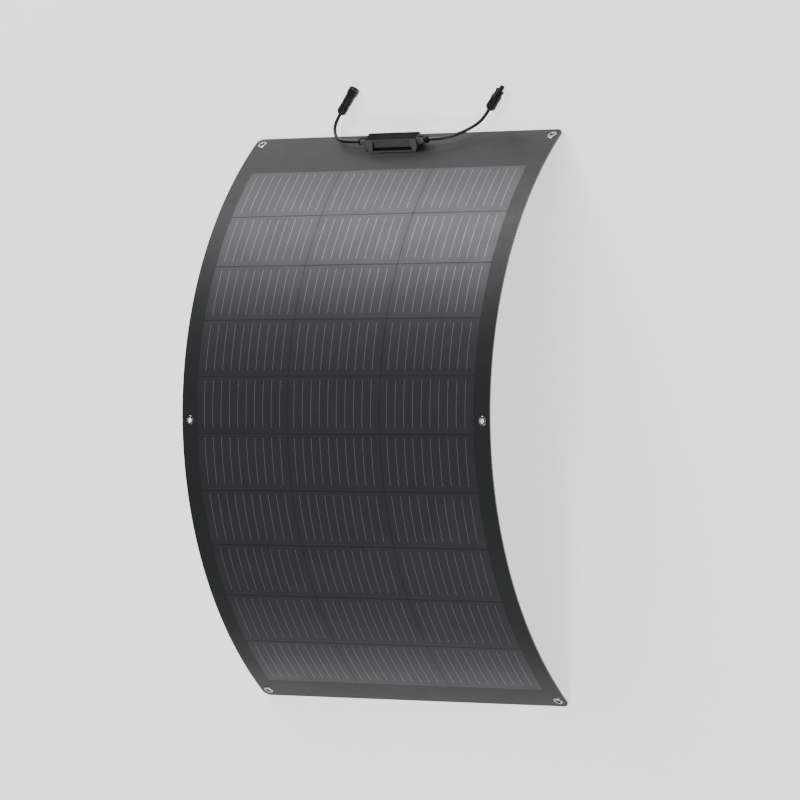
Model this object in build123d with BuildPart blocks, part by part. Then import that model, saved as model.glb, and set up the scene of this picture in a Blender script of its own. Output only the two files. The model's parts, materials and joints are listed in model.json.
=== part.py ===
from build123d import *
import os
from math import cos, degrees, pi, sin, tan

os.makedirs("parts", exist_ok=True)

# Driving dimensions of the sheet, in mm
sheet_length = 1055.0
sheet_width = 612.0
corner_radius = 12.0
bend_radius = 602.0  # to the middle of the sheet's thickness
front_film_t = 0.3
front_encapsulant_t = 0.6
cell_t = 0.2
ribbon_t = 0.15
rear_encapsulant_t = 0.4
board_t = 1.0
back_sheet_t = 0.2
back_sheet_trim = 0.5  # the back sheet stops short of the board's ends
sheet_t = front_film_t + front_encapsulant_t + rear_encapsulant_t + board_t + back_sheet_t

# Cells: half-cut, in three columns
cell_width = 182.0
cell_height = 91.0
cell_gap = 2.0
cell_chamfer = 1.5
column_names = ("left", "middle", "right")
row_count = 10
plain_margin = 42.0  # from the plain end to the first row
ribbons_per_cell = 10
ribbon_pitch = 17.0
ribbon_width = 0.9
ribbon_shift = -1.8
bus_width = 5.0
bus_offset = 8.0  # from the cells to the middle of a bus bar
tape_width = 11.0
tape_t = 0.1

# Grommets
grommet_inset = 15.0
grommet_flange_r = 8.0
grommet_hole_r = 4.0
grommet_barrel_r = 4.9
grommet_flange_t = 0.6
washer_r = 7.5
washer_t = 0.5

# Junction box, in its own axes: x along the sheet's width, t toward the box end, n outward
box_x = -7.0
box_from_end = 33.0
box_half_length = 50.5
box_half_foot = 45.7
box_foot_t = -13.0
box_back_t = 13.0
box_top_t = -4.0
box_height = 21.0
pad_t = 1.0
pocket_floor = 3.3
pocket_top = 20.0
pocket_wall_t = -3.4
pocket_half_top = 36.0
pocket_half_bottom = 40.0
cavity_half = 42.5
cavity_t0 = -1.4
cavity_t1 = 11.0
cavity_top = 19.0
boss_t = 3.0
boss_n = 13.0
boss_r = 6.7
boss_end = 63.7
gusset_end = 57.0
gland_bore_r = 4.5
gland_depth = 6.0
gland_end = 69.0
lead_x = 20.0  # of the two output leads, from the box's middle
lead_width = 5.0
lead_t = 0.2
slot_width = 7.0
slot_length = 2.4

# Leads and connectors
cable_d = 5.5
conductor_d = 2.3
cable_r = cable_d / 2
axis_height = 8.6  # of a connector lying on the floor

# Worked out
half_angle = sheet_length / 2 / bend_radius
front_r = bend_radius + sheet_t / 2
film_r = front_r - front_film_t
cell_front_r = front_r - front_film_t - front_encapsulant_t + cell_t
seat_r = cell_front_r - cell_t
board_front_r = seat_r - rear_encapsulant_t
board_back_r = board_front_r - board_t
back_r = bend_radius - sheet_t / 2
box_angle = (sheet_length / 2 - box_from_end) / bend_radius
box_reach = (front_r + box_height) * sin(box_angle) + box_back_t * cos(box_angle)
arc_y = -(box_reach - front_r * sin(half_angle)) / 2  # the object's box is centred on y = 0
arc_z = -board_back_r * cos(half_angle)  # the board's ends stand on z = 0


def surface_plane(x, s, r):
    """Plane on the bend at radius r: x along the width, y toward the box end, z outward."""
    a = s / bend_radius
    origin = (x, arc_y + r * sin(a), arc_z + r * cos(a))
    return Plane(origin=origin, x_dir=(1, 0, 0), z_dir=(0, sin(a), cos(a)))


def bent_outline(plane, r_in, r_out, s0, s1):
    """Ring sector between two radii, from s0 to s1 along the sheet's middle layer."""
    start = 90 - degrees(s1 / bend_radius)
    size = degrees((s1 - s0) / bend_radius)
    with BuildSketch(plane) as outline:
        with BuildLine():
            outer = CenterArc((arc_y, arc_z), r_out, start, size)
            inner = CenterArc((arc_y, arc_z), r_in, start, size)
            Line(outer @ 0, inner @ 0)
            Line(outer @ 1, inner @ 1)
        make_face()
    return outline.sketch


def side_plane(x):
    """Plane across the width at x, with the sheet's bend in its own plane."""
    return Plane.YZ.offset(x)


def turned(frame, outline):
    """Half section of (radius, height) points beside frame's z axis."""
    side = Plane(frame.origin, x_dir=frame.x_dir, z_dir=-frame.y_dir)
    with BuildSketch(side) as section:
        with BuildLine():
            Polyline(*outline, close=True)
        make_face()
    return section.sketch


def axis_of(frame):
    return Axis(frame.origin, frame.z_dir)


def finish(piece, name):
    """Labels a piece and writes it out."""
    piece.part.label = name
    export_step(piece.part, "parts/" + name + ".step")


grommet_s = [sheet_length / 2 - grommet_inset, 0.0, grommet_inset - sheet_length / 2]
grommet_x = [grommet_inset - sheet_width / 2, sheet_width / 2 - grommet_inset]
grommet_planes = [surface_plane(x, s, front_r) for s in grommet_s for x in grommet_x]
box_plane = surface_plane(box_x, sheet_length / 2 - box_from_end, front_r)
lead_planes = [box_plane.shift_origin(box_plane.from_local_coords((x, 0, 0))) for x in (-lead_x, lead_x)]


# Laminate
def layer(r_in, r_out, hole_r, trim=0.0):
    """One whole layer of the sheet, with round corners and grommet holes."""
    reach = sheet_length / 2 - trim
    with BuildPart() as sheet:
        extrude(bent_outline(side_plane(-sheet_width / 2), r_in, r_out, -reach, reach), amount=sheet_width)
        corners = sheet.edges().filter_by(lambda e: abs(e.length - (r_out - r_in)) < 1e-4)
        fillet(corners, radius=corner_radius)
        for plane in grommet_planes:
            with BuildSketch(plane.offset(1)):
                Circle(hole_r)
            extrude(amount=-5, mode=Mode.SUBTRACT)
    return sheet.part


with BuildPart() as back_sheet:
    add(layer(back_r, board_back_r, grommet_barrel_r, back_sheet_trim))
finish(back_sheet, "back_sheet")

with BuildPart() as glass_fibre_board:
    add(layer(board_back_r, board_front_r, grommet_barrel_r))
finish(glass_fibre_board, "glass_fibre_board")

with BuildPart() as rear_encapsulant:
    add(layer(board_front_r, seat_r, grommet_barrel_r))
finish(rear_encapsulant, "rear_encapsulant")

# Cells: rows counted from the plain end
row_pitch = cell_height + cell_gap
column_pitch = cell_width + cell_gap
first_row_s = plain_margin - sheet_length / 2
rows_end_s = first_row_s + row_count * row_pitch - cell_gap
columns = {}
for index, name in enumerate(column_names):
    left = (index - 1) * column_pitch - cell_width / 2
    with BuildPart() as column:
        for row in range(row_count):
            s0 = first_row_s + row * row_pitch
            extrude(bent_outline(side_plane(left), seat_r, cell_front_r, s0, s0 + cell_height), amount=cell_width)
        chamfer(column.edges().filter_by(lambda e: abs(e.length - cell_t) < 1e-4), length=cell_chamfer)
    finish(column, "solar_cells_" + name)
    columns[name] = column.part

ribbon_offsets = [(i - (ribbons_per_cell - 1) / 2) * ribbon_pitch + ribbon_shift for i in range(ribbons_per_cell)]
ribbon_r = cell_front_r + ribbon_t
with BuildPart() as cell_ribbons:
    for index in range(len(column_names)):
        for offset_x in ribbon_offsets:
            x0 = (index - 1) * column_pitch + offset_x - ribbon_width / 2
            strip = bent_outline(side_plane(x0), cell_front_r, ribbon_r, first_row_s, rows_end_s)
            extrude(strip, amount=ribbon_width)
finish(cell_ribbons, "cell_ribbons")

# Bus bars: two joining bars, and a short bar at each end of the chain with its own lead
field_half = 1.5 * column_pitch - cell_gap / 2
bar_spans = (
    (rows_end_s + bus_offset, -field_half, box_x - lead_x + lead_width / 2),
    (rows_end_s + bus_offset, box_x + lead_x - lead_width / 2, field_half),
    (first_row_s - bus_offset, -field_half, field_half),
)
with BuildPart() as string_bus_bars:
    for middle, x0, x1 in bar_spans:
        bar = bent_outline(side_plane(x0), seat_r, cell_front_r, middle - bus_width / 2, middle + bus_width / 2)
        extrude(bar, amount=x1 - x0)
finish(string_bus_bars, "string_bus_bars")

with BuildPart() as bus_cover_tape:
    for middle in (rows_end_s + bus_offset, first_row_s - bus_offset):
        tape = bent_outline(side_plane(-field_half), cell_front_r, cell_front_r + tape_t,
                            middle - tape_width / 2, middle + tape_width / 2)
        extrude(tape, amount=2 * field_half)
finish(bus_cover_tape, "bus_cover_tape")

# Output leads: from the box-end bus bars, under the box and up into it
lead_reach = sheet_length / 2 - box_from_end - (rows_end_s + bus_offset) - bus_width / 2
with BuildPart() as output_leads:
    for plane in lead_planes:
        s1 = sheet_length / 2 - box_from_end + lead_t / 2
        x0 = plane.origin.X - lead_width / 2
        extrude(bent_outline(side_plane(x0), seat_r, seat_r + lead_t, s1 - lead_reach - lead_t / 2, s1),
                amount=lead_width)
        with BuildSketch(plane.offset(seat_r + lead_t / 2 - front_r)):
            Rectangle(lead_width, lead_t)
        extrude(amount=front_r - seat_r - lead_t / 2 + pad_t + 6.5)
finish(output_leads, "output_leads")

with BuildPart() as front_encapsulant:
    add(layer(seat_r, film_r, grommet_barrel_r))
    for piece in (*columns.values(), cell_ribbons.part, string_bus_bars.part, bus_cover_tape.part):
        add(piece, mode=Mode.SUBTRACT)
    add(output_leads.part, mode=Mode.SUBTRACT)
finish(front_encapsulant, "front_encapsulant")

with BuildPart() as front_film:
    add(layer(film_r, front_r, grommet_barrel_r))
    for plane in lead_planes:
        with BuildSketch(plane.offset(1)):
            Rectangle(slot_width, slot_length)
        extrude(amount=-3, mode=Mode.SUBTRACT)
finish(front_film, "front_film")

# Grommets
eyelet_outline = (
    (grommet_hole_r, -sheet_t - washer_t),
    (grommet_hole_r, grommet_flange_t * 0.5),
    (grommet_hole_r + 0.6, grommet_flange_t),
    (grommet_flange_r - 1.2, grommet_flange_t),
    (grommet_flange_r, 0.15),
    (grommet_flange_r, 0.05),
    (grommet_barrel_r, 0.05),
    (grommet_barrel_r, -sheet_t - washer_t),
)
washer_outline = (
    (grommet_barrel_r, -sheet_t - 0.05),
    (washer_r, -sheet_t - 0.05),
    (washer_r, -sheet_t - washer_t + 0.15),
    (washer_r - 0.6, -sheet_t - washer_t),
    (grommet_barrel_r, -sheet_t - washer_t),
)
with BuildPart() as grommet_eyelets:
    for plane in grommet_planes:
        revolve(turned(plane, eyelet_outline), axis=axis_of(plane))
finish(grommet_eyelets, "grommet_eyelets")

with BuildPart() as grommet_washers:
    for plane in grommet_planes:
        revolve(turned(plane, washer_outline), axis=axis_of(plane))
finish(grommet_washers, "grommet_washers")

# Junction box
box_side = Plane(box_plane.origin, x_dir=box_plane.y_dir, z_dir=box_plane.x_dir)  # sketches in (t, n)
box_front = Plane(box_plane.origin, x_dir=box_plane.x_dir, z_dir=-box_plane.y_dir)  # sketches in (x, n)


def box_sketch(n, half_x, t0, t1):
    """Rectangle on the box's own plane at height n."""
    with BuildSketch(box_plane.offset(n)) as area:
        with Locations((0, (t0 + t1) / 2)):
            Rectangle(2 * half_x, t1 - t0)
    return area.sketch


def boss_frame(side):
    """Axis of a cable boss, pointing out of the box's left (-1) or right (1) end."""
    origin = box_plane.from_local_coords((0, boss_t, boss_n))
    return Plane(origin, x_dir=box_plane.y_dir, z_dir=box_plane.x_dir * side)


with BuildPart() as box_adhesive_pad:
    extrude(box_sketch(-0.4, box_half_foot - 0.5, box_foot_t + 0.5, box_back_t - 0.5), amount=pad_t + 0.4)
    with BuildSketch(side_plane(box_x - box_half_foot - 1)):
        with Locations((arc_y, arc_z)):
            Circle(front_r)
    extrude(amount=2 * box_half_foot + 2, mode=Mode.SUBTRACT)
    for plane in lead_planes:
        with BuildSketch(plane.offset(-1)):
            Rectangle(slot_width, slot_length)
        extrude(amount=4, mode=Mode.SUBTRACT)
finish(box_adhesive_pad, "box_adhesive_pad")

with BuildPart() as box_housing:
    with BuildSketch(box_side):
        with BuildLine():
            foot = box_foot_t + pad_t * (box_top_t - box_foot_t) / box_height
            Polyline((box_back_t, pad_t), (box_back_t, box_height), (box_top_t, box_height), (foot, pad_t), close=True)
        make_face()
    extrude(amount=box_half_length, both=True)
    # The ends draw in toward the foot
    with BuildSketch(box_front):
        for side in (-1, 1):
            with BuildLine():
                Polyline((side * box_half_length, 11), (side * (box_half_length + 1), 11),
                         (side * (box_half_length + 1), 0), (side * box_half_foot, 0), close=True)
            make_face()
    extrude(amount=20, both=True, mode=Mode.SUBTRACT)
    # Pocket under the top's front edge
    with BuildSketch(box_front.offset(-pocket_wall_t)):
        with BuildLine():
            Polyline((-pocket_half_bottom, pocket_floor), (pocket_half_bottom, pocket_floor),
                     (pocket_half_top, pocket_top), (-pocket_half_top, pocket_top), close=True)
        make_face()
    extrude(amount=15, mode=Mode.SUBTRACT)
    # Gusset and round boss at each end
    with BuildSketch(box_front.offset(-boss_t)):
        for side in (-1, 1):
            with BuildLine():
                Polyline((side * (box_half_length - 2), box_height - 0.2), (side * box_half_length, box_height - 0.2),
                         (side * gusset_end, boss_n + 2), (side * gusset_end, boss_n - 4),
                         (side * (box_half_length - 2), boss_n - 4), close=True)
            make_face()
    extrude(amount=boss_r - 0.3, both=True)
    for side in (-1, 1):
        frame = boss_frame(side)
        with BuildSketch(frame.offset(box_half_length - 3)):
            Circle(boss_r)
        extrude(amount=boss_end - box_half_length + 3)
        chamfer(box_housing.faces().sort_by(Axis(frame.origin, frame.z_dir))[-1].edges(), length=0.6)
    extrude(box_sketch(pad_t, cavity_half, cavity_t0, cavity_t1), amount=cavity_top - pad_t, mode=Mode.SUBTRACT)
    for side in (-1, 1):
        frame = boss_frame(side)
        with BuildSketch(frame.offset(cavity_half - 1)):
            Circle(cable_r)
        extrude(amount=40, mode=Mode.SUBTRACT)
        with BuildSketch(frame.offset(boss_end - gland_depth)):
            Circle(gland_bore_r)
        extrude(amount=20, mode=Mode.SUBTRACT)
finish(box_housing, "box_housing")

base_top = pad_t + 1.5
block_top = pad_t + 5.0
plate_t = 0.8
plate_x = 28.0
plate_half = 8.0
with BuildPart() as box_base_plate:
    extrude(box_sketch(pad_t, cavity_half - 0.2, cavity_t0 + 0.2, cavity_t1 - 0.2), amount=base_top - pad_t)
    for plane in lead_planes:
        with BuildSketch(plane):
            Rectangle(slot_width, slot_length)
        extrude(amount=10, mode=Mode.SUBTRACT)
finish(box_base_plate, "box_base_plate")

with BuildPart() as terminal_block:
    extrude(box_sketch(base_top, plate_x + plate_half, 1.5, 8.5), amount=block_top - base_top)
finish(terminal_block, "terminal_block")

# Each terminal plate lies on the block and turns up into a tab that holds the conductor
conductor_n = boss_n - conductor_d / 2
with BuildPart() as terminal_plates:
    for side in (-1, 1):
        with BuildSketch(box_front.offset(-boss_t)):
            with BuildLine():
                x_in = side * (plate_x - plate_half)
                x_out = side * (plate_x + plate_half)
                tab = x_out - side * plate_t
                Polyline((x_in, block_top), (x_out, block_top), (x_out, conductor_n - plate_t),
                         (x_out + side * 4, conductor_n - plate_t), (x_out + side * 4, conductor_n),
                         (tab, conductor_n), (tab, block_top + plate_t), (x_in, block_top + plate_t), close=True)
            make_face()
        extrude(amount=1.5, both=True)
finish(terminal_plates, "terminal_plates")

with BuildPart() as bypass_diode:
    with BuildSketch(box_plane.offset(block_top + plate_t + 0.6)):
        with Locations((0, boss_t)):
            Rectangle(9, 6)
    extrude(amount=4)
    fillet(bypass_diode.edges().filter_by(Axis(box_plane.origin, box_plane.z_dir)), radius=1)
    for side in (-1, 1):
        with BuildSketch(box_plane.offset(block_top + plate_t)):
            with Locations((side * 13.5, boss_t)):
                Rectangle(19, 1)
        extrude(amount=0.8)
finish(bypass_diode, "bypass_diode")

with BuildPart() as conductor_ends:
    for side in (-1, 1):
        with BuildSketch(boss_frame(side).offset(plate_x + plate_half - 0.8)):
            Circle(conductor_d / 2)
        extrude(amount=gland_end - plate_x - plate_half + 0.8)
finish(conductor_ends, "conductor_ends")

with BuildPart() as box_cable_ends:
    for side in (-1, 1):
        with BuildSketch(boss_frame(side).offset(cavity_half - 1)):
            Circle(cable_r)
            Circle(conductor_d / 2, mode=Mode.SUBTRACT)
        extrude(amount=gland_end - cavity_half + 1)
finish(box_cable_ends, "box_cable_ends")

with BuildPart() as box_potting:
    extrude(box_sketch(base_top, cavity_half, cavity_t0, cavity_t1), amount=17 - base_top)
    for piece in (terminal_block, terminal_plates, bypass_diode, conductor_ends, box_cable_ends, output_leads):
        add(piece.part, mode=Mode.SUBTRACT)
finish(box_potting, "box_potting")

gland_outline = (
    (cable_r, boss_end - gland_depth),
    (gland_bore_r, boss_end - gland_depth),
    (gland_bore_r, boss_end),
    (5.0, boss_end),
    (5.0, boss_end + 0.9),
    (6.3, boss_end + 0.9),
    (6.3, gland_end - 1.6),
    (5.4, gland_end - 1.6),
    (4.6, gland_end),
    (cable_r, gland_end),
)
for side, name in ((-1, "left"), (1, "right")):
    frame = boss_frame(side)
    with BuildPart() as gland:
        revolve(turned(frame, gland_outline), axis=axis_of(frame))
    finish(gland, "cable_gland_" + name)

# Leads
# Each connector lies on the floor; z of its frame points from its cable end to its mating end
boss_y, boss_z = boss_frame(1).origin.Y, boss_frame(1).origin.Z
socket_rear = (-132.0, 499.7, axis_height)
plug_rear = (166.0, 497.7, axis_height)
heading = (0.6, 0.8, 0)
socket_frame = Plane(socket_rear, x_dir=(0.8, -0.6, 1), z_dir=heading)  # windows turned up at 45 degrees
plug_frame = Plane(plug_rear, x_dir=(0, 0, 1), z_dir=heading)

left_route = [
    (box_x - gland_end, boss_y, boss_z),
    (-98.0, boss_y, boss_z),
    (-122.0, 455.0, 25.2),
    (-135.5, 462.2, 18.0),
    (-142.2, 474.7, 12.0),
    (-140.4, 488.5, axis_height),
    socket_rear,
]
right_route = [
    (box_x + gland_end, boss_y, boss_z),
    (82.0, boss_y, boss_z),
    (105.0, 456.0, 26.5),
    (127.5, 464.5, 18.5),
    (146.0, 475.2, 12.0),
    (157.6, 486.5, axis_height),
    plug_rear,
]


def arc_radii(points):
    """Largest radius for each corner: 0.45 of the shorter run over the tangent of half the turn."""
    radii = []
    for before, corner, after in zip(points, points[1:], points[2:]):
        run_in = Vector(corner) - Vector(before)
        run_out = Vector(after) - Vector(corner)
        half_turn = run_in.get_angle(run_out) * pi / 360
        radii.append(0.45 * min(run_in.length, run_out.length) / tan(half_turn))
    return radii


for name, route in (("left", left_route), ("right", right_route)):
    with BuildPart() as cable:
        with BuildLine() as path:
            FilletPolyline(*route, radius=arc_radii(route))
        with BuildSketch(Plane(path.wire() @ 0, z_dir=path.wire() % 0)):
            Circle(cable_r)
        sweep()
    finish(cable, "cable_" + name)
    length = path.wire().length
    expected = pi * cable_r**2 * length
    print(name, "radii", [round(r, 1) for r in arc_radii(route)], "length", round(length, 1),
          "volume ratio", round(cable.part.volume / expected, 4), "lowest z", round(cable.part.bounding_box().min.Z, 2))

# Connectors
thread_r = 5.4
nut_r = 7.75
collet_z = (3.0, 8.6)
seal_z = (9.6, 14.0)
shell_z = 15.6
rib_count = 12


def ribbed_nut(frame, length):
    """Gland nut: tapered rear, finger ribs and a threaded bore drawn plain."""
    outline = ((3.2, 0), (5.2, 0), (nut_r - 0.5, 2.6), (nut_r - 0.5, length), (thread_r + 0.08, length),
               (thread_r + 0.08, 2.6), (3.2, 1.2))
    with BuildPart() as nut:
        revolve(turned(frame, outline), axis=axis_of(frame))
        with BuildSketch(frame.offset(3.0)):
            with PolarLocations(nut_r - 0.6, rib_count):
                Circle(0.9)
        extrude(amount=length - 4.4)
        with BuildSketch(frame.offset(length - 1.4)):
            Circle(nut_r)
            Circle(thread_r + 0.5, mode=Mode.SUBTRACT)
        extrude(amount=1.4)
    return nut.part


def clamp_collet(frame):
    """Split clamping sleeve around the cable."""
    outline = ((cable_r + 0.1, collet_z[0]), (4.3, collet_z[0]), (5.2, collet_z[0] + 1.6), (5.2, collet_z[1]),
               (cable_r + 0.1, collet_z[1]))
    with BuildPart() as collet:
        revolve(turned(frame, outline), axis=axis_of(frame))
        with BuildSketch(frame.offset(collet_z[0] - 1)):
            with PolarLocations(0, 3):
                with Locations((5, 0)):
                    Rectangle(6, 0.8)
        extrude(amount=5.0, mode=Mode.SUBTRACT)
    return collet.part


def cable_seal(frame):
    outline = ((cable_r, seal_z[0]), (4.2, seal_z[0]), (4.2, seal_z[1]), (cable_r, seal_z[1]))
    with BuildPart() as seal:
        revolve(turned(frame, outline), axis=axis_of(frame))
    return seal.part


def cable_end(frame, length):
    with BuildPart() as stub:
        with BuildSketch(frame):
            Circle(cable_r)
        extrude(amount=length)
    return stub.part


nut_length = 15.0
contact_z = 19.0
for kind, frame in (("socket", socket_frame), ("plug", plug_frame)):
    with BuildPart() as nut:
        add(ribbed_nut(frame, nut_length))
    finish(nut, kind + "_gland_nut")
    with BuildPart() as collet:
        add(clamp_collet(frame))
    finish(collet, kind + "_clamp_collet")
    with BuildPart() as seal:
        add(cable_seal(frame))
    finish(seal, kind + "_cable_seal")
    with BuildPart() as stub:
        add(cable_end(frame, contact_z))
    finish(stub, kind + "_cable_end")

# Socket: long round body, eight-sided head with two latch windows
head_z = 40.0
socket_length = 50.0
mouth_r = 5.2
pin_end = 41.0
with BuildPart() as socket_housing:
    outline = ((4.2, 9.4), (thread_r, 9.4), (thread_r, shell_z), (7.0, shell_z), (7.5, shell_z + 0.6),
               (7.5, head_z), (3.0, head_z), (3.0, 14.0), (4.2, 14.0))
    revolve(turned(socket_frame, outline), axis=axis_of(socket_frame))
    with BuildSketch(socket_frame.offset(head_z - 2)):
        RegularPolygon(9.2, 8, rotation=22.5)
    extrude(amount=socket_length - head_z + 2)
    chamfer(socket_housing.faces().sort_by(axis_of(socket_frame))[-1].edges(), length=1.2)
    with BuildSketch(socket_frame.offset(14.0)):
        Circle(3.0)
    extrude(amount=16.0, mode=Mode.SUBTRACT)
    with BuildSketch(socket_frame.offset(29.0)):
        Circle(4.1)
    extrude(amount=30, mode=Mode.SUBTRACT)
    with BuildSketch(socket_frame.offset(socket_length - 9.5)):
        Circle(mouth_r)
        Rectangle(5.0, 15.6)
    extrude(amount=12, mode=Mode.SUBTRACT)
    # latch windows through the head's two sides
    with BuildSketch(socket_frame.offset(socket_length - 8.0)):
        Rectangle(5.0, 24)
    extrude(amount=4.0, mode=Mode.SUBTRACT)
    # grip flats' long ribs along the body
    with BuildSketch(socket_frame.offset(shell_z + 5)):
        with PolarLocations(7.35, 8, start_angle=22.5):
            Rectangle(0.9, 1.6)
    extrude(amount=head_z - shell_z - 9)
finish(socket_housing, "socket_housing")

with BuildPart() as socket_contact_pin:
    outline = ((0, contact_z), (3.0, contact_z), (3.0, 29.0), (1.95, 29.0), (1.95, pin_end - 1.5), (1.2, pin_end),
               (0, pin_end))
    revolve(turned(socket_frame, outline), axis=axis_of(socket_frame))
finish(socket_contact_pin, "socket_contact_pin")

# Plug: short round body, long nose and two springing latch fingers
body_z = 29.0
nose_r = 3.85
plug_length = 45.5
finger_r = 6.0  # middle of a finger's thickness
finger_z = 25.0  # its pivot
finger_half = 2.0
knuckle_r = 1.0
pivot_gap = 0.05
with BuildPart() as plug_housing:
    outline = ((4.2, 9.4), (thread_r, 9.4), (thread_r, shell_z), (7.2, shell_z), (7.9, shell_z + 0.8),
               (7.9, body_z - 2.5), (6.9, body_z), (nose_r, body_z), (nose_r, plug_length - 0.8),
               (nose_r - 0.8, plug_length), (2.8, plug_length), (2.8, 14.0), (4.2, 14.0))
    revolve(turned(plug_frame, outline), axis=axis_of(plug_frame))
    with BuildSketch(plug_frame.offset(shell_z + 3)):
        with PolarLocations(7.75, 8, start_angle=22.5):
            Rectangle(0.9, 1.6)
    extrude(amount=7)
    # slots for the fingers, open outward and forward
    for side in (-1, 1):
        with BuildSketch(plug_frame.offset(finger_z)):
            with Locations((0, side * 7.4)):
                Rectangle(2 * finger_half + 0.6, 5.2)
        extrude(amount=8, mode=Mode.SUBTRACT)
        knuckle = Plane(plug_frame.from_local_coords((-finger_half - 0.3, side * finger_r, finger_z)),
                        x_dir=plug_frame.y_dir, z_dir=plug_frame.x_dir)
        with BuildSketch(knuckle):
            Circle(knuckle_r + pivot_gap)
        extrude(amount=2 * finger_half + 0.6, mode=Mode.SUBTRACT)
finish(plug_housing, "plug_housing")

for side, name in ((1, "right"), (-1, "left")):
    # local x runs outward from the connector's axis, y toward the mating end
    profile = Plane(plug_frame.from_local_coords((0, 0, 0)), x_dir=plug_frame.y_dir * side,
                    z_dir=plug_frame.x_dir * side)
    with BuildPart() as finger:
        with BuildSketch(profile):
            with BuildLine():
                Polyline((finger_r - 0.7, finger_z), (finger_r + 0.7, finger_z), (finger_r + 0.7, 34.0),
                         (finger_r + 1.9, 34.6), (finger_r + 1.9, 35.6), (finger_r + 0.5, 38.2),
                         (finger_r - 0.7, 38.2), close=True)
            make_face()
            with Locations((finger_r, finger_z)):
                Circle(knuckle_r)
        extrude(amount=finger_half, both=True)
    finish(finger, "latch_finger_" + name)

with BuildPart() as plug_contact_tube:
    with BuildSketch(plug_frame.offset(contact_z)):
        Circle(2.8)
    extrude(amount=plug_length - 1.5 - contact_z)
    with BuildSketch(plug_frame.offset(contact_z + 8)):
        Circle(2.0)
    extrude(amount=30, mode=Mode.SUBTRACT)
finish(plug_contact_tube, "plug_contact_tube")

with BuildPart() as plug_nose_ring:
    outline = ((nose_r, body_z + 0.2), (4.3, body_z + 0.2), (4.3, body_z + 2.4), (nose_r, body_z + 2.4))
    revolve(turned(plug_frame, outline), axis=axis_of(plug_frame))
finish(plug_nose_ring, "plug_nose_ring")

print("sheet", round(sheet_t, 2), "arc", round(arc_y, 3), round(arc_z, 3), "apex", round(arc_z + front_r, 2))
print("boss", round(boss_y, 3), round(boss_z, 3))
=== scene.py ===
import bpy
import bmesh
import json
from math import atan2, cos, pi, radians, sin
from mathutils import Euler, Matrix, Vector


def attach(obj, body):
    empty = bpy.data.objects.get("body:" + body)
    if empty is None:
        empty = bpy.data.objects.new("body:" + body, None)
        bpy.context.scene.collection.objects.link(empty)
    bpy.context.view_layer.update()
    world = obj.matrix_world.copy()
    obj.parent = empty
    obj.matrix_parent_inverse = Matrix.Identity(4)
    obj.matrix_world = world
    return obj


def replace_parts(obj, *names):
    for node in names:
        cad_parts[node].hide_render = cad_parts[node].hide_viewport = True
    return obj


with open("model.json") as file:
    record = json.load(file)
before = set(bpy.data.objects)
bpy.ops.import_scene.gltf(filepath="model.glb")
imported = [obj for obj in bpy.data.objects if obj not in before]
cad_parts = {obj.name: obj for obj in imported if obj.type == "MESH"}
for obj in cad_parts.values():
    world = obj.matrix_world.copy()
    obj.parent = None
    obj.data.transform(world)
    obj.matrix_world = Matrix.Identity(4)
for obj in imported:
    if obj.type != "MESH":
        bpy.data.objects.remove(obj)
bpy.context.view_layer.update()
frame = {"nodes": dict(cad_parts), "record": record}
record = frame["record"]
mounts = {mount["name"]: mount for mount in record["mounts"]}
print("frame loaded:", len(frame["nodes"]), "nodes")


# camera, floor and light

view = {
    "place": (5.1967, 0.1706, 7.2698),
    "turn": (-1.378, 35.671, -0.794),   # degrees
    "lens": 245.8,
}
cameraData = bpy.data.cameras.new("camera")
cameraData.lens = view["lens"]
cameraData.sensor_width = 36
cameraData.clip_end = 40
camera = bpy.data.objects.new("camera", cameraData)
camera.location = view["place"]
camera.rotation_euler = Euler([radians(angle) for angle in view["turn"]])
bpy.context.collection.objects.link(camera)
bpy.context.scene.camera = camera


studio = {
    "floorSize": 3.6,
    "floorTone": (0.9, 0.9, 0.9, 1),
    "floorGlow": 1.2,
    "air": (0.5, 0.51, 0.53, 1),
    "airStrength": 0.25,
}


def studioFloor():
    bm = bmesh.new()
    bmesh.ops.create_grid(bm, x_segments=2, y_segments=2, size=studio["floorSize"])
    mesh = bpy.data.meshes.new("studioFloor")
    bm.to_mesh(mesh)
    bm.free()
    floor = bpy.data.objects.new("studioFloor", mesh)
    bpy.context.collection.objects.link(floor)
    material = bpy.data.materials.new("paleFloor")
    material.use_nodes = True
    bsdf = material.node_tree.nodes["Principled BSDF"]
    bsdf.inputs["Base Color"].default_value = studio["floorTone"]
    bsdf.inputs["Roughness"].default_value = 0.7
    bsdf.inputs["Specular IOR Level"].default_value = 0.1
    bsdf.inputs["Emission Color"].default_value = (1, 1, 1, 1)
    bsdf.inputs["Emission Strength"].default_value = studio["floorGlow"]
    mesh.materials.append(material)


def softLight(name, place, aim, size, power):
    data = bpy.data.lights.new(name, "AREA")
    data.shape = "RECTANGLE"
    data.size = size[0]
    data.size_y = size[1]
    data.energy = power
    light = bpy.data.objects.new(name, data)
    light.location = place
    light.rotation_euler = (Vector(place) - Vector(aim)).to_track_quat("Z", "Y").to_euler()
    light.visible_camera = False
    bpy.context.collection.objects.link(light)


studioFloor()
softLight("backLight", (-1.6, 3.0, 1.75), (0, 0.3, 0.1), (1.3, 2.2), 102)
softLight("topLight", (0.6, 0.4, 4.2), (0, 0, 0), (3.2, 3.2), 30)
softLight("frontLight", (0.2, -3.0, 3.3), (0, 0, 0.1), (1.2, 1.0), 85)
world = bpy.data.worlds.new("studioWorld")
world.use_nodes = True
world.node_tree.nodes["Background"].inputs["Color"].default_value = studio["air"]
world.node_tree.nodes["Background"].inputs["Strength"].default_value = studio["airStrength"]
bpy.context.scene.world = world
print("camera, floor and lights set")


# the bend of the sheet, from the eyelet rows

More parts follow.
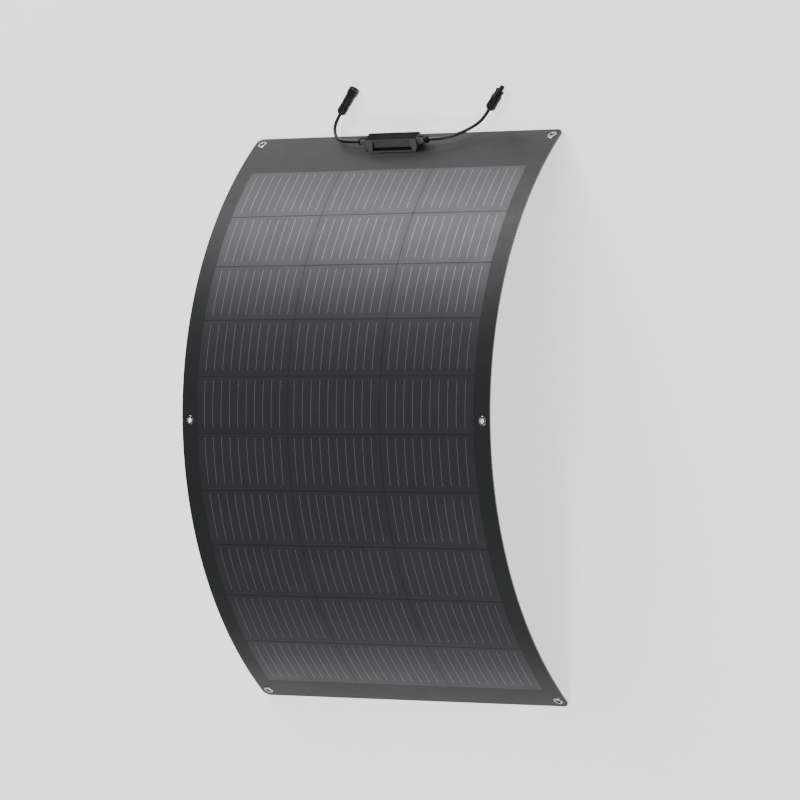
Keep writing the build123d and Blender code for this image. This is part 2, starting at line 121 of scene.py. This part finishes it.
middleRow = Vector(mounts["middle_grommets"]["pos_m"])
endRow = Vector(mounts["box_end_grommets"]["pos_m"])
endAngle = atan2(mounts["box_end_grommets"]["axis"][1], mounts["box_end_grommets"]["axis"][2])
bend = {
    "frontR": (endRow.y - middleRow.y) / sin(endAngle),
    "midR": 0.602,
    "centreY": middleRow.y,
    "thick": 0.0025,
    "halfLength": 0.5275,
    "boxInset": 0.033,   # of the box's middle from the end of the sheet
}
bend["centreZ"] = middleRow.z - bend["frontR"]
boxAngle = (bend["halfLength"] - bend["boxInset"]) / bend["midR"]
# painted shade: the box's top face, looking along this direction, is given this darker colour in place of the
# shade the lights leave on it
boxTopPaintedShade = {"direction": (0, sin(boxAngle), cos(boxAngle)), "tone": (0.009, 0.009, 0.009)}


def bendPoint(x, s, h):
    # carries a point of the flat sheet, at height h over its face, onto the bend
    angle = s / bend["midR"]
    r = bend["frontR"] + h
    return Vector((x, bend["centreY"] + r * sin(angle), bend["centreZ"] + r * cos(angle)))


# shader groups used by several finishes

def shaderGroup(name, inputs, outputs):
    tree = bpy.data.node_groups.new(name, "ShaderNodeTree")
    for label, kind, value in inputs:
        socket = tree.interface.new_socket(name=label, in_out="INPUT", socket_type=kind)
        if value is not None:
            socket.default_value = value
    for label, kind in outputs:
        tree.interface.new_socket(name=label, in_out="OUTPUT", socket_type=kind)
    return tree, tree.nodes.new("NodeGroupInput"), tree.nodes.new("NodeGroupOutput")


def mathNode(tree, operation, first, second=None, clamp=False):
    node = tree.nodes.new("ShaderNodeMath")
    node.operation = operation
    node.use_clamp = clamp
    for index, value in enumerate((first, second)):
        if value is None:
            continue
        if isinstance(value, (int, float)):
            node.inputs[index].default_value = value
        else:
            tree.links.new(value, node.inputs[index])
    return node.outputs[0]


def noiseNode(tree, vector, scale, detail=3.0, roughness=0.5):
    node = tree.nodes.new("ShaderNodeTexNoise")
    node.inputs["Scale"].default_value = scale
    node.inputs["Detail"].default_value = detail
    node.inputs["Roughness"].default_value = roughness
    tree.links.new(vector, node.inputs["Vector"])
    return node.outputs["Fac"]


def remap(tree, value, low, high):
    node = tree.nodes.new("ShaderNodeMapRange")
    tree.links.new(value, node.inputs["Value"])
    node.inputs["From Min"].default_value = 0.3
    node.inputs["From Max"].default_value = 0.7
    for label, end in (("To Min", low), ("To Max", high)):
        if isinstance(end, (int, float)):
            node.inputs[label].default_value = end
        else:
            tree.links.new(end, node.inputs[label])
    return node.outputs["Result"]


def embossGroup():
    # crossed slanting waves of the embossed film, with a slow swell under them
    tree, entry, leave = shaderGroup("embossedFilm", [
        ("Surface", "NodeSocketVector", None),
        ("Roughness", "NodeSocketFloat", 0.4),
        ("Emboss", "NodeSocketFloat", 0.5),
    ], [("Height", "NodeSocketFloat"), ("Roughness", "NodeSocketFloat"), ("Dust", "NodeSocketFloat")])
    surface = entry.outputs["Surface"]
    waves = []
    for slant in (38, -38):
        turn = tree.nodes.new("ShaderNodeMapping")
        turn.inputs["Rotation"].default_value[2] = radians(slant)
        tree.links.new(surface, turn.inputs["Vector"])
        wave = tree.nodes.new("ShaderNodeTexWave")
        wave.wave_profile = "SIN"
        wave.inputs["Scale"].default_value = 190
        wave.inputs["Distortion"].default_value = 0.6
        wave.inputs["Detail"].default_value = 1
        tree.links.new(turn.outputs["Vector"], wave.inputs["Vector"])
        waves.append(wave.outputs["Fac"])
    diamonds = mathNode(tree, "MULTIPLY", waves[0], waves[1])
    swell = noiseNode(tree, surface, 9, 2)
    raised = mathNode(tree, "MULTIPLY", diamonds, entry.outputs["Emboss"])
    total = mathNode(tree, "ADD", raised, mathNode(tree, "MULTIPLY", swell, 2.6))
    tree.links.new(total, leave.inputs["Height"])
    haze = noiseNode(tree, surface, 26, 5, 0.6)
    low = mathNode(tree, "SUBTRACT", entry.outputs["Roughness"], 0.03)
    high = mathNode(tree, "ADD", entry.outputs["Roughness"], 0.04)
    tree.links.new(remap(tree, haze, low, high), leave.inputs["Roughness"])
    tree.links.new(remap(tree, noiseNode(tree, surface, 420, 3), 0.0, 1.0), leave.inputs["Dust"])
    return tree


def mouldGroup():
    # spark-eroded grain of moulded parts, and the slight sheen change where they are handled
    tree, entry, leave = shaderGroup("mouldGrain", [
        ("Place", "NodeSocketVector", None),
        ("Roughness", "NodeSocketFloat", 0.5),
        ("Size", "NodeSocketFloat", 900.0),
        ("Dark", "NodeSocketColor", (0.02, 0.02, 0.02, 1)),
        ("Light", "NodeSocketColor", (0.04, 0.04, 0.04, 1)),
    ], [("Color", "NodeSocketColor"), ("Roughness", "NodeSocketFloat"), ("Height", "NodeSocketFloat")])
    grain = tree.nodes.new("ShaderNodeTexNoise")
    grain.inputs["Detail"].default_value = 3
    tree.links.new(entry.outputs["Place"], grain.inputs["Vector"])
    tree.links.new(entry.outputs["Size"], grain.inputs["Scale"])
    tree.links.new(grain.outputs["Fac"], leave.inputs["Height"])
    patch = noiseNode(tree, entry.outputs["Place"], 60, 4, 0.6)
    low = mathNode(tree, "SUBTRACT", entry.outputs["Roughness"], 0.06)
    high = mathNode(tree, "ADD", entry.outputs["Roughness"], 0.08)
    tree.links.new(remap(tree, patch, low, high), leave.inputs["Roughness"])
    blend = tree.nodes.new("ShaderNodeMix")
    blend.data_type = "RGBA"
    tree.links.new(remap(tree, patch, 0.0, 1.0), blend.inputs["Factor"])
    tree.links.new(entry.outputs["Dark"], blend.inputs["A"])
    tree.links.new(entry.outputs["Light"], blend.inputs["B"])
    tree.links.new(blend.outputs["Result"], leave.inputs["Color"])
    return tree


filmGroup = embossGroup()
grainGroup = mouldGroup()


def startMaterial(name):
    material = bpy.data.materials.new(name)
    material.use_nodes = True
    return material, material.node_tree, material.node_tree.nodes["Principled BSDF"]


def placeGroup(tree, group):
    node = tree.nodes.new("ShaderNodeGroup")
    node.node_tree = group
    return node


def bumpInto(tree, bsdf, height, distance, strength):
    bump = tree.nodes.new("ShaderNodeBump")
    bump.inputs["Distance"].default_value = distance
    bump.inputs["Strength"].default_value = strength
    tree.links.new(height, bump.inputs["Height"])
    tree.links.new(bump.outputs["Normal"], bsdf.inputs["Normal"])


def grainInto(tree, bsdf, dark, light, roughness, size):
    place = tree.nodes.new("ShaderNodeTexCoord")
    grain = placeGroup(tree, grainGroup)
    grain.inputs["Roughness"].default_value = roughness
    grain.inputs["Size"].default_value = size
    grain.inputs["Dark"].default_value = (*dark, 1)
    grain.inputs["Light"].default_value = (*light, 1)
    tree.links.new(place.outputs["Object"], grain.inputs["Place"])
    tree.links.new(grain.outputs["Color"], bsdf.inputs["Base Color"])
    tree.links.new(grain.outputs["Roughness"], bsdf.inputs["Roughness"])
    return grain


def mouldedMaterial(name, dark, light, roughness, size=900.0, depth=0.00004, specular=0.5, paintedShadeFace=None):
    material, tree, bsdf = startMaterial(name)
    grain = grainInto(tree, bsdf, dark, light, roughness, size)
    bumpInto(tree, bsdf, grain.outputs["Height"], depth, 0.5)
    bsdf.inputs["Specular IOR Level"].default_value = specular
    if paintedShadeFace:
        # painted shade: the face that looks along the cap's direction gets a darker colour than the sides,
        # standing in for the shade the lights leave on it
        geometry = tree.nodes.new("ShaderNodeNewGeometry")
        facing = tree.nodes.new("ShaderNodeVectorMath")
        facing.operation = "DOT_PRODUCT"
        facing.inputs[1].default_value = paintedShadeFace["direction"]
        tree.links.new(geometry.outputs["True Normal"], facing.inputs[0])
        edge = tree.nodes.new("ShaderNodeMapRange")
        edge.inputs["From Min"].default_value = 0.90
        edge.inputs["From Max"].default_value = 0.98
        tree.links.new(facing.outputs["Value"], edge.inputs["Value"])
        blend = tree.nodes.new("ShaderNodeMix")
        blend.data_type = "RGBA"
        tree.links.new(edge.outputs["Result"], blend.inputs["Factor"])
        tree.links.new(grain.outputs["Color"], blend.inputs["A"])
        blend.inputs["B"].default_value = (*paintedShadeFace["tone"], 1)
        tree.links.new(blend.outputs["Result"], bsdf.inputs["Base Color"])
    return material


def platedMaterial(name, tone, roughness):
    material, tree, bsdf = startMaterial(name)
    grain = grainInto(tree, bsdf, [0.8 * channel for channel in tone], tone, roughness, 1400)
    bumpInto(tree, bsdf, grain.outputs["Height"], 0.00001, 0.3)
    bsdf.inputs["Metallic"].default_value = 1
    return material


def filmMaterial(name, low, high, roughness, emboss, depth, specular=0.5, metallic=0.0, streak=0.0,
                 gloss=(1, 1, 1)):
    # low and high are the two tones that the surface drifts between
    material, tree, bsdf = startMaterial(name)
    surface = tree.nodes.new("ShaderNodeUVMap")
    surface.uv_map = "surface"
    film = placeGroup(tree, filmGroup)
    film.inputs["Roughness"].default_value = roughness
    film.inputs["Emboss"].default_value = emboss
    tree.links.new(surface.outputs["UV"], film.inputs["Surface"])
    tones = tree.nodes.new("ShaderNodeMix")
    tones.data_type = "RGBA"
    tones.inputs["A"].default_value = (*low, 1)
    tones.inputs["B"].default_value = (*high, 1)
    factor = film.outputs["Dust"]
    if streak:
        # each cell has its own tone, and faint streaks run along it between the ribbons
        tone = tree.nodes.new("ShaderNodeAttribute")
        tone.attribute_name = "tone"
        axes = tree.nodes.new("ShaderNodeSeparateXYZ")
        tree.links.new(surface.outputs["UV"], axes.inputs["Vector"])
        wave = mathNode(tree, "SINE", mathNode(tree, "MULTIPLY", axes.outputs["X"], 2 * pi / streak))
        mixed = mathNode(tree, "ADD", mathNode(tree, "MULTIPLY", factor, 0.2), tone.outputs["Fac"])
        factor = mathNode(tree, "ADD", mixed, mathNode(tree, "MULTIPLY", wave, 0.3), clamp=True)
    tree.links.new(factor, tones.inputs["Factor"])
    tree.links.new(tones.outputs["Result"], bsdf.inputs["Base Color"])
    tree.links.new(film.outputs["Roughness"], bsdf.inputs["Roughness"])
    bsdf.inputs["Metallic"].default_value = metallic
    bsdf.inputs["Specular IOR Level"].default_value = specular
    bsdf.inputs["Specular Tint"].default_value = (*gloss, 1)
    bumpInto(tree, bsdf, film.outputs["Height"], depth, 1.0)
    return material


finishes = {
    "front_film": filmMaterial("blackMarginFilm", (0.023, 0.024, 0.024), (0.031, 0.032, 0.032), 0.42, 0.6,
                               0.00012, specular=0.25, gloss=(0.97, 0.96, 1.0)),
    "cell": filmMaterial("siliconUnderFilm", (0.025, 0.024, 0.028), (0.042, 0.041, 0.047), 0.40, 0.6,
                         0.00012, specular=0.5, streak=0.0034, gloss=(0.96, 0.94, 1.0)),
    "ribbon": filmMaterial("tinnedRibbon", (0.19, 0.19, 0.195), (0.25, 0.25, 0.255), 0.36, 0.4,
                           0.00008, specular=0.7, metallic=0.3),
    "encapsulant": mouldedMaterial("clearedResin", (0.20, 0.20, 0.19), (0.26, 0.26, 0.25), 0.35),
    "board": mouldedMaterial("glassClothBoard", (0.022, 0.024, 0.022), (0.05, 0.052, 0.048), 0.45, 500),
    "back_sheet": filmMaterial("mattBackFilm", (0.012, 0.012, 0.013), (0.019, 0.019, 0.02),
                               0.55, 0.3, 0.0001),
    "tape": mouldedMaterial("blackTape", (0.012, 0.012, 0.012), (0.02, 0.02, 0.02), 0.6),
    "eyelet": platedMaterial("nickelPlate", (0.37, 0.36, 0.35), 0.2),
    "washer": platedMaterial("nickelWasher", (0.66, 0.66, 0.65), 0.27),
    "pad": mouldedMaterial("foamAdhesive", (0.02, 0.02, 0.02), (0.035, 0.035, 0.035), 0.8, 1600, 0.0001),
    # the box plastic carries painted shade on its top face through the darker colour given below
    "box_plastic": mouldedMaterial("boxPlastic", (0.095, 0.095, 0.097), (0.115, 0.115, 0.117), 0.6,
                                   specular=0.06, paintedShadeFace=boxTopPaintedShade),
    "diode": mouldedMaterial("diodeMould", (0.01, 0.01, 0.01), (0.018, 0.018, 0.018), 0.5),
    "copper": platedMaterial("bareCopper", (0.78, 0.42, 0.28), 0.3),
    "cable_jacket": mouldedMaterial("cableJacket", (0.006, 0.006, 0.006), (0.01, 0.01, 0.01), 0.34, 1300,
                                    0.00003, specular=0.4),
    "potting": mouldedMaterial("curedPotting", (0.015, 0.015, 0.015), (0.025, 0.025, 0.025), 0.3),
    "gland": mouldedMaterial("glandRubber", (0.005, 0.005, 0.005), (0.008, 0.008, 0.008), 0.45, specular=0.3),
    "connector_plastic": mouldedMaterial("connectorPlastic", (0.007, 0.007, 0.007), (0.012, 0.012, 0.012),
                                         0.44, specular=0.35),
    "seal": mouldedMaterial("sealRubber", (0.012, 0.012, 0.012), (0.02, 0.02, 0.02), 0.6),
    "contact": platedMaterial("tinnedContact", (0.72, 0.71, 0.69), 0.25),
}
slotOf = {part["node"]: part["material_slot"] for part in record["subparts"]}
for name, node in frame["nodes"].items():
    for slot in node.material_slots:
        slot.link = "OBJECT"
        slot.material = finishes[slotOf[name]]
print("finishes made:", len(finishes))


# shared work on pieces

def shade(bm, sharp):
    for face in bm.faces:
        face.smooth = True
    for edge in bm.edges:
        edge.smooth = len(edge.link_faces) == 2 and edge.calc_face_angle(0) < radians(sharp)


def addPiece(name, bm, slot, body="panel", sharp=32):
    shade(bm, sharp)
    mesh = bpy.data.meshes.new(name)
    bm.to_mesh(mesh)
    bm.free()
    piece = bpy.data.objects.new(name, mesh)
    bpy.context.collection.objects.link(piece)
    mesh.materials.append(finishes[slot])
    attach(piece, body)
    return piece


def sliceAlong(bm, low, high, step):
    # cuts across the length, so that flat work can bend
    count = round((high - low) / step)
    for index in range(1, count):
        cut = low + (high - low) * index / count
        geometry = bm.verts[:] + bm.edges[:] + bm.faces[:]
        bmesh.ops.bisect_plane(bm, geom=geometry, dist=1e-7, plane_co=(0, cut, 0), plane_no=(0, 1, 0))


def thicken(bm, low, high):
    # flat work at height 0 becomes a closed slab from low to high
    slab = bmesh.ops.extrude_face_region(bm, geom=bm.faces[:])
    raised = [item for item in slab["geom"] if isinstance(item, bmesh.types.BMVert)]
    lower = [vert for vert in bm.verts if vert not in set(raised)]
    bmesh.ops.translate(bm, verts=raised, vec=(0, 0, high))
    bmesh.ops.translate(bm, verts=lower, vec=(0, 0, low))
    bmesh.ops.recalc_face_normals(bm, faces=bm.faces[:])


def surfaceMap(bm):
    # the flat place of each point, in metres, is kept as its map on the surface
    layer = bm.loops.layers.uv.new("surface")
    for face in bm.faces:
        for loop in face.loops:
            loop[layer].uv = loop.vert.co.xy


def bendAll(bm):
    for vert in bm.verts:
        vert.co = bendPoint(*vert.co)


# laminate

laminate = {
    "length": 1.055,
    "width": 0.612,
    "corner": 0.012,
    "eyeletInset": 0.015,
    "holeR": 0.0049,
    "step": 0.006,
    "layers": [   # piece, CAD node, slot, depth of its upper and lower face, trim
        ("frontFilm", "front_film", "front_film", 0.0, 0.0003, 0.0),
        ("frontEncapsulant", "front_encapsulant", "encapsulant", 0.0003, 0.0009, 0.0),
        ("rearEncapsulant", "rear_encapsulant", "encapsulant", 0.0009, 0.0013, 0.0),
        ("glassFibreBoard", "glass_fibre_board", "board", 0.0013, 0.0023, 0.0),
        ("backSheet", "back_sheet", "back_sheet", 0.0023, 0.0025, 0.0005),
    ],
}


def eyeletPlaces():
    x = laminate["width"] / 2 - laminate["eyeletInset"]
    s = laminate["length"] / 2 - laminate["eyeletInset"]
    return [(side * x, row * s) for row in (1, 0, -1) for side in (-1, 1)]


def flatLayer(trim):
    bm = bmesh.new()
    bmesh.ops.create_grid(bm, x_segments=1, y_segments=1, size=0.5)
    size = (laminate["width"], laminate["length"] - 2 * trim, 1)
    bmesh.ops.scale(bm, vec=size, verts=bm.verts[:])
    bmesh.ops.bevel(bm, geom=bm.verts[:], offset=laminate["corner"], offset_type="OFFSET", segments=10,
                    profile=0.5, affect="VERTICES", material=-1)
    bmesh.ops.delete(bm, geom=bm.faces[:], context="FACES_ONLY")
    for x, s in eyeletPlaces():
        bmesh.ops.create_circle(bm, cap_ends=False, segments=32, radius=laminate["holeR"],
                                matrix=Matrix.Translation((x, s, 0)))
    bmesh.ops.triangle_fill(bm, use_beauty=True, use_dissolve=False, edges=bm.edges[:])
    sliceAlong(bm, -size[1] / 2, size[1] / 2, laminate["step"])
    return bm


def makeLaminate():
    for name, node, slot, top, bottom, trim in laminate["layers"]:
        bm = flatLayer(trim)
        thicken(bm, -bottom, -top)
        surfaceMap(bm)
        bendAll(bm)
        piece = addPiece(name, bm, slot)
        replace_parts(piece, node)
    print("laminate made of", len(laminate["layers"]), "layers")


makeLaminate()


# cells and their ribbons, seen through the front film

cells = {
    "width": 0.182,
    "height": 0.091,
    "gap": 0.002,
    "chamfer": 0.0015,
    "rows": 10,
    "plainMargin": 0.042,
    "sunk": 0.00002,
    "raised": 0.00006,
    "slice": 0.0091,
    "ribbons": 10,
    "ribbonPitch": 0.017,
    "ribbonWidth": 0.0008,
    "ribbonShifts": (0.0004, -0.0018, -0.0018),   # left, middle and right column
    "ribbonStart": 0.009,     # clear of the cell's edge on the plain side
    "ribbonEnd": 0.0055,      # and on the box side
    "ribbonRaised": 0.00014,
    "ribbonSlice": 0.0085,
}


def flatPlate(x0, x1, s0, s1, chamfer, step):
    bm = bmesh.new()
    bmesh.ops.create_grid(bm, x_segments=1, y_segments=1, size=0.5)
    bmesh.ops.scale(bm, vec=(x1 - x0, s1 - s0, 1), verts=bm.verts[:])
    if chamfer:
        bmesh.ops.bevel(bm, geom=bm.verts[:], offset=chamfer, offset_type="OFFSET", segments=1,
                        profile=0.5, affect="VERTICES", material=-1)
    sliceAlong(bm, (s0 - s1) / 2, (s1 - s0) / 2, step)
    bmesh.ops.translate(bm, verts=bm.verts[:], vec=((x0 + x1) / 2, (s0 + s1) / 2, 0))
    return bm


def joinInto(bm, other):
    mesh = bpy.data.meshes.new("joined")
    other.to_mesh(mesh)
    other.free()
    bm.from_mesh(mesh)
    bpy.data.meshes.remove(mesh)


def cellTone(column, row):
    # small fixed differences between neighbouring cells
    return 0.35 + 0.04 * sin(2.1 * row + 1.3 * column) + 0.03 * sin(4.7 * row - 2.9 * column)


def makeCells():
    pitchX = cells["width"] + cells["gap"]
    pitchS = cells["height"] + cells["gap"]
    firstRow = cells["plainMargin"] - laminate["length"] / 2
    ribbonMesh = bmesh.new()
    for column, name in enumerate(("left", "middle", "right")):
        centre = (column - 1) * pitchX
        columnMesh = bmesh.new()
        tones = []
        for row in range(cells["rows"]):
            s0 = firstRow + row * pitchS
            s1 = s0 + cells["height"]
            half = cells["width"] / 2
            plate = flatPlate(centre - half, centre + half, s0, s1, cells["chamfer"], cells["slice"])
            thicken(plate, -cells["sunk"], cells["raised"])
            tones += [cellTone(column, row)] * len(plate.verts)
            joinInto(columnMesh, plate)
            for index in range(cells["ribbons"]):
                x = centre + cells["ribbonShifts"][column]
                x += (index - (cells["ribbons"] - 1) / 2) * cells["ribbonPitch"]
                edge = cells["ribbonWidth"] / 2
                low, high = s0 + cells["ribbonStart"], s1 - cells["ribbonEnd"]
                strip = flatPlate(x - edge, x + edge, low, high, 0, cells["ribbonSlice"])
                thicken(strip, 0.0, cells["ribbonRaised"])
                joinInto(ribbonMesh, strip)
        surfaceMap(columnMesh)
        bendAll(columnMesh)
        piece = addPiece("cells" + name.capitalize(), columnMesh, "cell")
        tone = piece.data.attributes.new("tone", "FLOAT", "POINT")
        tone.data.foreach_set("value", tones)
        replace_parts(piece, "solar_cells_" + name)
    surfaceMap(ribbonMesh)
    bendAll(ribbonMesh)
    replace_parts(addPiece("cellRibbons", ribbonMesh, "ribbon"), "cell_ribbons")
    print("cells and ribbons made")


makeCells()


# eyelets and their washers

eyelet = {
    "hole": 0.004,
    "barrel": 0.0049,
    "flange": 0.008,
    "crown": 0.0007,
    "washer": 0.0075,
    "washerThick": 0.0005,
}


def surfaceMatrix(x, s):
    angle = s / bend["midR"]
    axes = Matrix(((1, 0, 0), (0, cos(angle), sin(angle)), (0, -sin(angle), cos(angle)))).to_4x4()
    return Matrix.Translation(bendPoint(x, s, 0.0)) @ axes


def spun(outline, steps=48):
    # closed outline of (radius, height), turned about z
    bm = bmesh.new()
    verts = [bm.verts.new((radius, 0, height)) for radius, height in outline]
    edges = [bm.edges.new((first, second)) for first, second in zip(verts, verts[1:] + verts[:1])]
    bmesh.ops.spin(bm, geom=verts + edges, cent=(0, 0, 0), axis=(0, 0, 1), angle=2 * pi, steps=steps,
                   use_merge=True)
    bmesh.ops.remove_doubles(bm, verts=bm.verts[:], dist=1e-6)
    bmesh.ops.recalc_face_normals(bm, faces=bm.faces[:])
    return bm


def makeEyelets():
    hole, barrel, flange, crown = (eyelet[key] for key in ("hole", "barrel", "flange", "crown"))
    back = -bend["thick"] - eyelet["washerThick"]
    roll = [(hole + (flange - hole) * (1 - cos(pi * step / 8)) / 2, crown * sin(pi * step / 8) + 0.00005)
            for step in range(9)]
    shell = [(hole, back - 0.0002), *roll, (flange - 0.0004, 0.00002), (barrel, 0.00002), (barrel, back)]
    ring = [(barrel, back), (eyelet["washer"] - 0.0004, back), (eyelet["washer"], back + 0.0002),
            (eyelet["washer"], -bend["thick"] - 0.00005), (barrel, -bend["thick"] - 0.00005)]
    for name, node, slot, outline in (("eyelets", "grommet_eyelets", "eyelet", shell),
                                      ("eyeletWashers", "grommet_washers", "washer", ring)):
        bm = bmesh.new()
        for x, s in eyeletPlaces():
            one = spun(outline)
            bmesh.ops.transform(one, matrix=surfaceMatrix(x, s), verts=one.verts[:])
            joinInto(bm, one)
        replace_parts(addPiece(name, bm, slot, sharp=50), node)
    print("eyelets made")


makeEyelets()


# hard moulded parts: the CAD shape with its moulding radii

def softened(node, name, width, body="panel", sharp=28):
    slot = slotOf[node]
    bm = bmesh.new()
    bm.from_mesh(frame["nodes"][node].data)
    bmesh.ops.remove_doubles(bm, verts=bm.verts[:], dist=2e-6)
    bmesh.ops.dissolve_limit(bm, angle_limit=radians(1.5), verts=bm.verts[:], edges=bm.edges[:])
    piece = addPiece(name, bm, slot, body, sharp)
    bevel = piece.modifiers.new("mouldRadius", "BEVEL")
    bevel.width = width
    bevel.segments = 3
    bevel.limit_method = "ANGLE"
    bevel.angle_limit = radians(sharp)
    bevel.harden_normals = True
    bevel.use_clamp_overlap = True
    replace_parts(piece, node)
    return piece


softened("box_housing", "boxHousing", 0.0007)
softened("box_adhesive_pad", "boxPad", 0.0002)
for side in ("left", "right"):
    softened("cable_gland_" + side, "cableGland" + side.capitalize(), 0.0004)
socketHousing = softened("socket_housing", "socketHousing", 0.0004)
plugHousing = softened("plug_housing", "plugHousing", 0.0004)
socketNut = softened("socket_gland_nut", "socketNut", 0.0004, "socket_nut")
plugNut = softened("plug_gland_nut", "plugNut", 0.0004, "plug_nut")
leftFinger = softened("latch_finger_left", "latchFingerLeft", 0.0002, "left_latch")
rightFinger = softened("latch_finger_right", "latchFingerRight", 0.0002, "right_latch")
print("box and connectors made")


# leads

leads = {
    "diameter": 0.0055,
    "left": [
        (-0.076, 0.452023, 0.032946),
        (-0.098, 0.452023, 0.032946),
        (-0.122, 0.455, 0.0252),
        (-0.1355, 0.4622, 0.018),
        (-0.1422, 0.4747, 0.012),
        (-0.1404, 0.4885, 0.0086),
        (-0.132, 0.4997, 0.0086),
    ],
    "right": [
        (0.062, 0.452023, 0.032946),
        (0.082, 0.452023, 0.032946),
        (0.105, 0.456, 0.0265),
        (0.1275, 0.4645, 0.0185),
        (0.146, 0.4752, 0.012),
        (0.1576, 0.4865, 0.0086),
        (0.166, 0.4977, 0.0086),
    ],
}


def makeLead(side):
    route = leads[side]
    curve = bpy.data.curves.new("cable_" + side, "CURVE")
    curve.dimensions = "3D"
    spline = curve.splines.new("NURBS")
    spline.points.add(len(route) - 1)
    for point, place in zip(spline.points, route):
        point.co = (*place, 1)
    spline.order_u = 3
    spline.use_endpoint_u = True
    spline.resolution_u = 16
    curve.bevel_depth = leads["diameter"] / 2
    curve.bevel_resolution = 6
    curve.use_fill_caps = True
    lead = bpy.data.objects.new(side + "Lead", curve)
    bpy.context.collection.objects.link(lead)
    curve.materials.append(finishes["cable_jacket"])
    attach(lead, "panel")
    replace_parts(lead, "cable_" + side)


makeLead("left")
makeLead("right")
print("leads laid")
